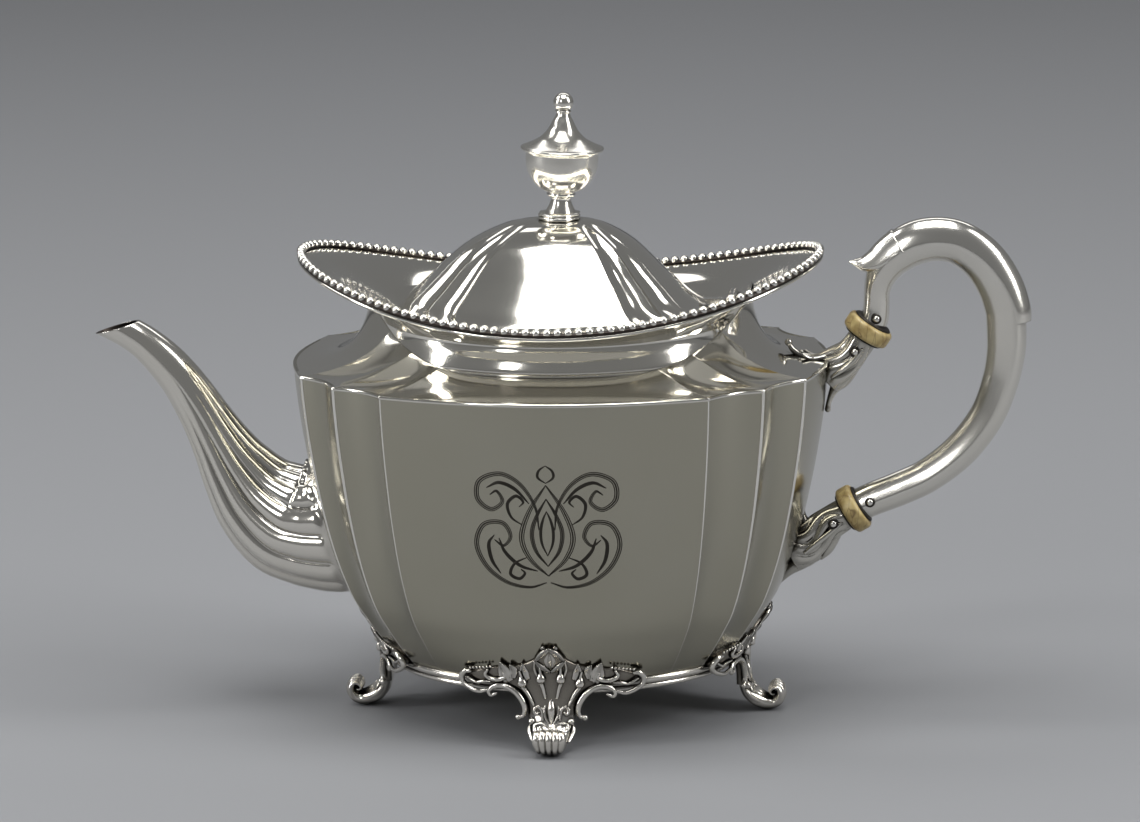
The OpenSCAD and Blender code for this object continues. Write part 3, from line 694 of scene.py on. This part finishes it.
def spout_ring(row, along, t):
    x, z, hw, hy = row
    dx, dz = along
    die_out = ease((x + 124) / 22)
    ring = []
    for i in range(224):
        f = 2 * math.pi * i / 224
        px, py, pz = x + dz * hw * math.cos(f), hy * math.sin(f), z - dx * hw * math.cos(f)
        gap = bowl_edge(py, pz, -1) - px if px > -100 else 30
        rib = 2.0 * die_out * ease((gap - 0.6) / 2.4) * (abs(math.cos(f * spout_ribs / 2)) ** 0.6 - 0.66)
        r = min(hw, hy) / 15
        grow = rib * min(r, 1.0) + 0.5 * math.exp(-max(gap, 0) / 0.9) - t
        n = (hw + grow) * math.cos(f)
        px, py, pz = x + dz * n, (hy + grow) * math.sin(f), z - dx * n
        if px > -100:
            px = min(px, bowl_edge(py, pz, -1) + 0.3)
        ring.append((px, py, pz))
    return ring


outer = [spout_ring(row, along, 0) for row, along in zip(spout_rows, spout_along)]
inner = [spout_ring(row, along, 0.9 - 0.35 * ease((-row[0] - 130) / 12))
         for row, along in zip(spout_rows[::-1], spout_along[::-1])]
tube = bmesh.new()
tube_v, tube_f = skin(outer + inner, closed=True)
tube_verts = [tube.verts.new(v) for v in tube_v]
for q in tube_f:
    tube.faces.new([tube_verts[k] for k in q])
cut = bmesh.ops.bisect_plane(
    tube, geom=tube.verts[:] + tube.edges[:] + tube.faces[:], plane_co=(mouth_spot[0], 0, mouth_spot[1]),
    plane_no=(-math.sin(mouth_slope), 0, math.cos(mouth_slope)), clear_outer=True)
bmesh.ops.bridge_loops(tube, edges=[e for e in cut["geom_cut"] if isinstance(e, bmesh.types.BMEdge)])
bmesh.ops.recalc_face_normals(tube, faces=tube.faces)
tube.verts.index_update()
spout_shell = [tuple(v.co) for v in tube.verts], [tuple(v.index for v in f.verts) for f in tube.faces]
tube.free()
chased = silver("chased_silver", (0.86, 0.835, 0.78), 0.12, tarnish=0.9, reach=0.0045)
spout = piece("spout_tube", [spout_shell], chased, stands_for=("spout",))
# The inward-facing faces of the tube take the near-black second material: painted shade inside the spout.
spout.data.materials.append(tarnish_and_shade)
for face in spout.data.polygons:
    c = face.center / MM
    k = min(int(np.argmin((spout_rows[:, 0] - c.x) ** 2 + (spout_rows[:, 1] - c.z) ** 2)),
            len(spout_rows) - 1)
    if face.normal.dot(Vector((c.x - spout_rows[k, 0], c.y, c.z - spout_rows[k, 1]))) < 0:
        face.material_index = 1

# ---- Handle sockets ----
# Two cast sockets with ribbed barrels. Their leaf ends are soldered over the ridge above and down
# the bowl below.


def ribbed_socket(path, ribs, side_steps=60):
    rows = spline(path, side_steps)
    along = np.gradient(rows[:, :2], axis=0)
    along /= np.linalg.norm(along, axis=1)[:, None]
    rings = []
    for (x, z, hw, hy, rib), (dx, dz) in zip(rows, along):
        ring = []
        for i in range(96):
            f = 2 * math.pi * i / 96
            g = 1 + 1.5 * rib * (abs(math.cos((f + 0.35 * math.sin(x / 2)) * ribs / 2)) ** 0.6 - 0.7)
            px, py, pz = x + dz * hw * g * math.cos(f), hy * g * math.sin(f), z - dx * hw * g * math.cos(f)
            if pz < ridge_z - 0.2:
                px = max(px, bowl_edge(py, pz, 1) - 0.3)
            ring.append((px, py, pz))
        rings.append(ring)
    return skin(rings)



def rod_pair(points, radii, sides):
    """Rod on one flank of a socket and its mirror image on the other."""
    return [rod(points, radii, sides), rod([(x, -y, z) for x, y, z in points], radii, sides)]


aged = silver("aged_castings", (0.66, 0.64, 0.59), 0.19, tarnish=0.985, reach=0.0042, wave=0.5)
piece("upper_socket_casting", [
    ribbed_socket([(94.9, 120.9, 4.7, 4.8, 0.0), (93.6, 118.9, 4.6, 4.7, 0.08), (91.4, 115.9, 4.9, 4.9, 0.12),
                   (88.6, 112.6, 5.3, 5.4, 0.14), (85.6, 109.6, 6.0, 6.2, 0.1),
                   (83.2, 107.4, 5.6, 5.6, 0.0)], 8),
    rod([(89, 0, 116.2), (85, 0, 115.2), (80.5, 0, 113.9), (76, 0, 114.4), (73, 0, 116.2), (71.6, 0, 118.2)],
        [3.2, 2.3, 1.5, 1.15, 0.95, 0.7], 24),
    ball((71.4, 0, 118.8), 1.25), ball((75.4, 0, 115.6), 0.9),
    *rod_pair([(83, 1.6, 114.4), (79, 2.8, 113.9), (76.4, 3.9, 115.2)], [1.1, 0.9, 0.55], 12),
    *rod_pair([(94.4, -4.6, 117.5), (91.4, -5.7, 113.9), (88.4, -6.0, 111.4), (85.2, -6.0, 109)],
              [0.5, 0.8, 0.85, 0.5], 14),
    rod([(87.4, 0, 106.5), (85.2, 0, 103), (83.9, 0, 99.6), (83.6, 0, 97.4)], [2.6, 1.3, 0.8, 1.0], 14),
    rod([(91.6, 0, 110.6), (88.2, 0, 106.4), (85.4, 0, 103.4)], [1.9, 1.5, 0.6], 12),
], aged, stands_for=("upper_socket",))
piece("lower_socket_casting", [
    ribbed_socket([(89.5, 64.2, 5.1, 5.1, 0.0), (87.4, 62.8, 5.0, 5.0, 0.08), (83.4, 60, 5.2, 5.2, 0.12),
                   (78.8, 56.2, 5.9, 5.8, 0.14), (75.2, 53.4, 6.8, 6.2, 0.1),
                   (71.6, 51.6, 6.4, 5.8, 0.0)], 8),
    rod([(80, 0, 50.6), (75, 0, 48.6), (70.6, 0, 45.4), (66.9, 0, 41.0), (64.7, 0, 37.4)],
        [2.2, 3.0, 2.2, 1.3, 0.6], 16),
    rod([(85.4, 0, 57), (83.4, 0, 52.4), (81.6, 0, 49.4)], [2.4, 1.9, 0.7], 12),
    *rod_pair([(88, -4.6, 62), (84, -5.6, 58.6), (80, -6.3, 55.4), (76.6, -6.8, 52.6)],
              [0.5, 0.85, 0.9, 0.5], 14),
    rod([(76.2, 0, 60), (75.4, 0, 64), (76.4, 0, 68)], [2.4, 1.2, 0.5], 12),
], aged, stands_for=("lower_socket",))

# ---- Insulators ----
# Two turned rings of bone between handle and sockets, so that the heat of the pot stays out of the
# handle. They have yellowed, and fine brown cracks run with the grain.


def lathe(profile, origin=(0, 0, 0), tilt=0.0, sides=72):
    """Turned form: (radius, height) profile about an axis that leans in the XZ plane."""
    turn = Matrix.Rotation(math.radians(tilt), 3, "Y")
    rings = []
    for r, h in profile:
        rings.append([tuple(Vector(origin) + turn @ Vector((r * math.cos(f), r * math.sin(f), h)))
                      for f in np.arange(sides) * 2 * math.pi / sides])
    return skin(rings)


def old_bone():
    m = bpy.data.materials.new("yellowed_bone")
    m.use_nodes = True
    shader, join, add = m.node_tree.nodes["Principled BSDF"], m.node_tree.links.new, node_maker(m)
    shader.inputs["Roughness"].default_value = 0.34
    shader.inputs["Subsurface Weight"].default_value = 0.12
    shader.inputs["Subsurface Radius"].default_value = (0.002, 0.0012, 0.0006)
    where = add("TexCoord").outputs["Object"]
    grain = add("TexNoise", Vector=where, Scale=260, Detail=5).outputs["Fac"]
    ramp = add("ValToRGB", Fac=grain)
    for stop, place, colour in zip(ramp.color_ramp.elements, (0.32, 0.62),
                                   ((0.25, 0.17, 0.055, 1), (0.52, 0.41, 0.185, 1))):
        stop.position, stop.color = place, colour
    long_grain = add("Mapping", Vector=where, Scale=(1.2, 1.2, 0.18)).outputs["Vector"]
    crack = add("TexVoronoi", Vector=long_grain, Scale=330)
    crack.feature = "DISTANCE_TO_EDGE"
    thin = add("MapRange", Value=crack.outputs["Distance"], From_Max=0.035, To_Min=0.75, To_Max=0)
    brown = (0.10, 0.05, 0.02, 1)
    mix = add("MixRGB", Fac=thin.outputs["Result"], Color1=ramp.outputs["Color"], Color2=brown)
    join(mix.outputs["Color"], shader.inputs["Base Color"])
    bump = add("Bump", Strength=0.35, Distance=0.0001, Height=grain)
    join(bump.outputs["Normal"], shader.inputs["Normal"])
    return m


bone = old_bone()
upper_ring, upper_tilt = (96.2, 0, 123), 32.7
lower_ring, lower_tilt = (91.6, 0, 65.5), 58.7
ring_half, ring_r = 2.6, 7.5


def bone_ring(up):
    edge = [(ring_r - 1.3 + 1.3 * math.cos(f), ring_half - 1.3 + 1.3 * math.sin(f))
            for f in np.linspace(0, math.pi / 2, 9)]
    side = [(r + 0.12 * math.cos(h / ring_half), h) for r, h in edge[::-1]]
    top = [(0.05, up), (2.35, up), (2.35, ring_half + 0.02), (ring_r - 2.4, ring_half + 0.02)]
    low = [(r, -h) for r, h in side[::-1]] + [(3.4, -ring_half - 0.02), (3.4, -10.4), (0.05, -10.4)]
    return (top + side + low)[::-1]


# Near-black material: painted shadow at the faces of the bone rings, and dark patina round the pin heads.
shadow_and_patina = silver("painted_shadow_and_patina", (0.05, 0.045, 0.04), 0.5)
for name, place, tilt in (("upper", upper_ring, upper_tilt), ("lower", lower_ring, lower_tilt)):
    # Thin near-black rings at both faces of each bone ring: painted shadow in the gaps against socket and
    # handle.
    gap_shadows = [lathe([(4, h - 0.35), (5.9, h - 0.35), (6.3, h), (5.9, h + 0.35), (4, h + 0.35)], place, tilt)
             for h in (-ring_half - 0.25, ring_half + 0.25)]
    piece(name + "_ring_gap_shadows", gap_shadows, shadow_and_patina)
piece("upper_bone_ring", [lathe(bone_ring(6.4), upper_ring, upper_tilt)], bone,
      stands_for=("upper_insulator",))
piece("lower_bone_ring", [lathe(bone_ring(8.0), lower_ring, lower_tilt)], bone,
      stands_for=("lower_insulator",))

# ---- Handle ----
# Hollow C-scroll of two stampings joined along an arris on each side. It starts in a pointed
# thumb-piece, and the outer face of its upper half ends in a lip over the slimmer lower half.


def arrised_tube(path, steps):
    """Bar with a crisp arris on each side; the last figure moves the arris towards the outer face."""
    rows = spline(path, steps)
    along = np.gradient(rows[:, :2], axis=0)
    along /= np.linalg.norm(along, axis=1)[:, None]
    open_out, open_in = math.radians(68), math.radians(58)
    section = [(math.cos(f), math.sin(f) / math.sin(open_out), open_out)
               for f in np.linspace(0, open_out, 13)]
    section += [(-math.cos(f), math.sin(f) / math.sin(open_in), open_in)
                for f in np.linspace(open_in, 0, 13)[1:]]
    rings = []
    for (x, z, hw, hy, e), (dx, dz) in zip(rows, along):
        half = []
        for c, y, widest in section:
            outer_side = c > 0
            share = (abs(c) - math.cos(widest)) / (1 - math.cos(widest))
            n = e + (1 - e) * share if outer_side else e - (1 + e) * share
            half.append((n * hw, y * hy))
        ring = half + [(n, -y) for n, y in half[-2:0:-1]]
        rings.append([(x - dz * n, y, z + dx * n) for n, y in ring])
    return skin(rings)


rubbed = silver("hand_rubbed_silver", (0.84, 0.82, 0.77), 0.17, tarnish=0.5, reach=0.0015, scratch=0.3)
piece("handle_shell", [
    arrised_tube([
        (97.7, 125.3, 4.6, 4.8, 0.35), (98.5, 127.9, 4.3, 4.6, 0.4), (98.8, 131, 4.1, 4.4, 0.4),
        (99, 135.6, 4.1, 4.6, 0.35), (100.6, 140.8, 4.9, 5.1, 0.2), (104.3, 146.3, 6.3, 5.6, 0.0),
        (110.4, 150.3, 6.9, 5.8, -0.05), (117.7, 151.7, 6.9, 5.8, -0.05), (124.9, 150.2, 6.9, 5.8, 0),
        (131.9, 145, 7, 5.8, 0.1), (136.9, 137.4, 7.1, 5.8, 0.22), (139.5, 129.8, 7.1, 5.7, 0.34),
        (140.0, 125.6, 6.9, 5.5, 0.4)], 110),
    arrised_tube([
        (137.6, 133.6, 6.0, 5.5, 0.4), (138.7, 129.6, 6.2, 5.6, 0.45), (139.2, 122.4, 6.2, 5.5, 0.5),
        (139, 115.5, 6, 5.4, 0.48), (137.3, 106.5, 5.7, 5.2, 0.4), (133.2, 95.6, 5.5, 5.1, 0.3),
        (125.4, 84.9, 5.5, 5, 0.2), (115.4, 76.7, 5.4, 5, 0.15), (106.4, 72.2, 5.4, 5, 0.1),
        (98.5, 69, 5.3, 5, 0.1), (93.8, 66.9, 5.2, 5.1, 0.1)], 110),
    arrised_tube([
        (90.3, 144.5, 0.2, 0.3, -0.2), (92.2, 144.2, 1.2, 1.9, -0.3), (95, 143.9, 2.7, 3.6, -0.35),
        (98.4, 144.6, 4.3, 4.8, -0.3), (102.3, 146.5, 5.7, 5.4, -0.2),
        (106.8, 149.2, 6.5, 5.7, -0.1)], 50),
], rubbed, stands_for=("handle_scroll",))

# ---- Cross pins ----
# Four silver pins with domed heads, driven through the sockets, the handle ends and the spigots of
# the bone rings.


def cross_pin(name, node):
    low, high = (np.array(c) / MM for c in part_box(node))
    mid, half, r = (low + high) / 2, (high[1] - low[1]) / 2, (high[0] - low[0]) / 2
    rings = []
    dome = [(0.05, half + 0.45), (r * 0.8, half + 0.3), (r * 1.25, half - 0.05), (r * 1.3, half - 0.35),
            (r, half - 0.5)]
    for rad, y in dome + [(rad, -y) for rad, y in dome[::-1]]:
        rings.append([(mid[0] + rad * math.cos(f), y, mid[2] + rad * math.sin(f))
                      for f in np.arange(24) * math.pi / 12])
    piece(name, [skin(rings)], beaded, stands_for=(node,))
    rims = []
    for side in (-1, 1):
        loop = [[(mid[0] + (r * 1.35 + 0.4 * math.cos(t)) * math.cos(f),
                  side * (half - 0.25 + 0.4 * math.sin(t)),
                  mid[2] + (r * 1.35 + 0.4 * math.cos(t)) * math.sin(f)) for t in np.arange(6) * math.pi / 3]
                for f in np.arange(24) * math.pi / 12]
        rims.append(skin(loop, closed=True))
    piece(name + "_rims", rims, shadow_and_patina)


for where in ("upper_handle", "upper_socket", "lower_handle", "lower_socket"):
    cross_pin(where + "_rivet", where + "_pin")

# ---- Lid hinge ----
# Two small leaves and a drawn pin at the handle end: the outer knuckles are soldered to the
# gallery and the middle one to the lid. The pieces keep their shapes from the frame.
for node in ("body_hinge_leaf", "hinge_pin", "lid_hinge_leaf"):
    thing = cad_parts[node]
    thing.data.materials.clear()
    thing.data.materials.append(beaded)

# ---- Lid dome ----
# The dome is raised from sheet and fluted like the bowl, with straight flanks and a narrow flat
# edge that rests on the gallery's ledge. It leans a little towards the spout to clear the hinge.
lid_a, lid_b = (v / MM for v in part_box("lid_dome")[1][:2])
seat_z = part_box("lid_dome")[0][2] / MM - 0.3
lid_top_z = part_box("lid_dome")[1][2] / MM
# Half-length, height above the seat, shift towards the spout, depth of the flutes
dome = spline([
    (51.6, 0.7, 0, 0), (51.7, 1.2, 0, 0), (50.4, 1.9, 0.6, 0.3), (49, 3.2, 2.2, 0.7), (46.6, 6, 3.5, 1),
    (42.2, 10, 3.3, 1), (37.8, 14, 3.2, 1), (33.5, 18, 3, 1), (28.5, 22, 2.6, 1), (22.4, 25.5, 2.1, 0.95),
    (15.8, 28.2, 1.3, 0.8), (9.5, 29.5, 0.5, 0.4), (4, 29.9, 0, 0), (0.8, 30, 0, 0),
], 90)
lid_oval = outline / np.sqrt((outline[:, 0] / lid_a) ** 2 + (outline[:, 1] / lid_b) ** 2)[:, None]
swell = np.linalg.norm(outline, axis=1) / np.linalg.norm(ridge_oval, axis=1) - 1
swell = swell - swell.max()


def lid_ring(row, t=0.0, drop=0.0):
    a, h, shift, depth = row
    q = lid_oval * (a / lid_a) * (1 + 1.5 * max(depth, 0) * swell)[:, None]
    q = q * np.maximum(1 - t / np.linalg.norm(q, axis=1), 0.02)[:, None]
    return np.column_stack([q[:, 0] - shift, q[:, 1], np.full(len(q), seat_z + h - drop)])


under = [lid_ring(row, 0.9, 0.5) for row in dome[::-1] if 2.6 < row[1] < 28] + [lid_ring(dome[4], 3.0, 1.0)]
under = [lid_ring(row, 0.3, 0.9) for row in dome[::-1] if row[1] >= 28] + under
piece("lid_dome_sheet", [skin([lid_ring(dome[0], 0.3, 0.35)] + [lid_ring(row) for row in dome] + under,
                              closed=True)],
      bright, "lid", ("lid_dome",))

# ---- Lid bezel ----
# A plain strip soldered inside the lid, which drops into the neck and keeps the lid centred.
bezel_low, bezel_high = (np.array(c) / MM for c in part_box("lid_bezel"))
ba, bb = bezel_high[0], bezel_high[1]
piece("lid_bezel_strip", [skin([oval_ring(*g) for g in [
    (ba - 0.9, bb - 0.9, bezel_low[2] + 0.1, bezel_low[2] + 0.1),
    (ba - 0.5, bb - 0.5, bezel_low[2], bezel_low[2]), (ba, bb, bezel_low[2] + 0.3, bezel_low[2] + 0.3),
    (ba, bb, bezel_high[2] + 0.1, bezel_high[2] + 0.1),
    (ba - 1, bb - 1, bezel_high[2] + 0.1, bezel_high[2] + 0.1)]], closed=True)], bright, "lid",
    ("lid_bezel",))

# ---- Finial ----
# A cast urn with a peaked cover, on an eight-sided plinth. A stud through the dome holds it, with
# a washer and a nut inside the lid.
z, top = lid_top_z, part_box("finial")[1][2] / MM
stem = spline([(4.9, z + 1.8), (4.5, z + 2.6), (3.7, z + 4.2), (3.2, z + 5.6), (3.15, z + 6.7)], 14)
collar = [(4.2, z + 7.1), (4.5, z + 7.5), (4.5, z + 7.9), (4.2, z + 8.2)]
bowl_curve = spline([(4.4, z + 8.4), (6.9, z + 9.6), (9.3, z + 12), (10.7, z + 14.8), (11.3, z + 17.6),
                     (11.4, z + 20.7)], 26)
brim = [(11.5, z + 21.0), (12.3, z + 21.3), (12.85, z + 21.7), (13, z + 22.1), (12.85, z + 22.45),
        (12.5, z + 22.5)]
peak = spline([(12.2, z + 22.7), (9.4, z + 24), (6.8, z + 25.6), (4.7, z + 27.9), (3.4, z + 30.4),
               (2.5, top - 7.6), (2.05, top - 6.4)], 30)
knob = [(2.5, top - 6.1), (2.5, top - 5.7), (2.1, top - 5.5)] + [
    (3.15 * math.cos(f), top - 3.15 + 3.15 * math.sin(f)) for f in np.linspace(-0.9, 1.5, 18)]
urn_profile = [(0.05, z + 1.8), *stem, *collar, *bowl_curve, *brim, *peak, *knob]
plinth = []
for r, h in [(6.4, z - 0.4), (6.95, z + 0.15), (6.95, z + 0.75), (6.5, z + 0.9), (6.5, z + 1.05),
             (6.9, z + 1.2), (6.9, z + 1.7), (6.5, z + 1.95), (4.6, z + 2.1)]:
    ring = []
    for i in range(8):
        a0, a1 = (math.radians(22.5 + 45 * i), math.radians(67.5 + 45 * i))
        for w in (0.04, 0.5, 0.96):
            ring.append((r * (math.cos(a0) * (1 - w) + math.cos(a1) * w),
                         r * (math.sin(a0) * (1 - w) + math.sin(a1) * w), h))
    plinth.append(ring)
stud = lathe([(0.05, z - 8), (1.5, z - 8), (1.6, z - 7.7), (1.6, z + 0.5), (0.05, z + 0.5)], sides=32)
piece("urn_finial", [lathe([(r, h - z) for r, h in urn_profile], (0.4, 0, z), 2.2, 96), skin(plinth), stud],
      rubbed, "lid", ("finial",))
for node in ("finial_washer", "finial_nut"):
    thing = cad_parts[node]
    thing.data.materials.clear()
    thing.data.materials.append(satin)

# ---- Studio ----
# A grey floor under one broad overhead light, weaker lights behind, at both sides and in front, and
# grey surroundings for the silver to mirror.


def plain(name, colour, rough=0.8):
    m = bpy.data.materials.new(name)
    m.use_nodes = True
    m.node_tree.nodes["Principled BSDF"].inputs["Base Color"].default_value = (*colour, 1)
    m.node_tree.nodes["Principled BSDF"].inputs["Roughness"].default_value = rough
    return m


def sheet(name, corners, material):
    mesh = bpy.data.meshes.new(name)
    mesh.from_pydata(corners, [], [(0, 1, 2, 3)])
    mesh.update()
    thing = bpy.data.objects.new(name, mesh)
    bpy.context.scene.collection.objects.link(thing)
    mesh.materials.append(material)
    return thing


sheet("floor", [(-6, -4, 0), (6, -4, 0), (6, 8, 0), (-6, 8, 0)], plain("pale_floor", (0.225, 0.229, 0.238)))
world = bpy.data.worlds.new("grey_room")
world.use_nodes = True
world.node_tree.nodes["Background"].inputs["Color"].default_value = (0.175, 0.177, 0.181, 1)
world.node_tree.nodes["Background"].inputs["Strength"].default_value = 1.0
bpy.context.scene.world = world


def softbox(name, spot, aim, size, power):
    lamp = bpy.data.lights.new(name, "AREA")
    lamp.shape = "RECTANGLE"
    lamp.size, lamp.size_y = size
    lamp.energy = power
    thing = bpy.data.objects.new(name, lamp)
    bpy.context.scene.collection.objects.link(thing)
    thing.location = spot
    thing.rotation_euler = (Vector(aim) - Vector(spot)).to_track_quat("-Z", "Y").to_euler()
    return thing


softbox("overhead", (0.035, -0.35, 2.0), (0.02, -0.05, 0.1), (1.07, 1.2), 30)
softbox("rear_top", (0, 1.5, 1.9), (0, 0, 0.1), (2.4, 0.5), 7)
softbox("left_side", (-1.6, -0.6, 0.7), (0, 0, 0.1), (0.22, 1.2), 12)
softbox("right_side", (1.5, -0.5, 0.85), (0, 0, 0.1), (0.3, 1.0), 9)
softbox("left_top", (-1.5, 0.1, 1.6), (0, 0, 0.1), (0.7, 0.8), 10)
softbox("right_top", (1.5, -0.3, 1.6), (0, 0, 0.1), (0.5, 0.9), 10)
softbox("front_fill", (-1.1, -2.2, 1.3), (0, 0, 0.08), (0.35, 0.8), 9)

frame_width, focal_length, sensor = 1140, 4764, 36
eye = bpy.data.cameras.new("camera")
eye.lens, eye.sensor_width = focal_length / frame_width * sensor, sensor
eye.shift_x, eye.shift_y = 8 / frame_width, 4 / frame_width
camera = bpy.data.objects.new("camera", eye)
bpy.context.scene.collection.objects.link(camera)
azimuth, elevation, roll, distance = math.radians(5.3), math.radians(12.6), math.radians(-0.8), 1.5
aim = Vector((0, 0, 0.095))
back = Vector((math.sin(azimuth) * math.cos(elevation), -math.cos(azimuth) * math.cos(elevation),
               math.sin(elevation)))
camera.location = aim + back * distance
look = (-back).to_track_quat("-Z", "Y").to_matrix()
camera.rotation_euler = (look @ Matrix.Rotation(roll, 3, "Z")).to_euler()
bpy.context.scene.camera = camera
bpy.context.scene.view_settings.view_transform = "Standard"
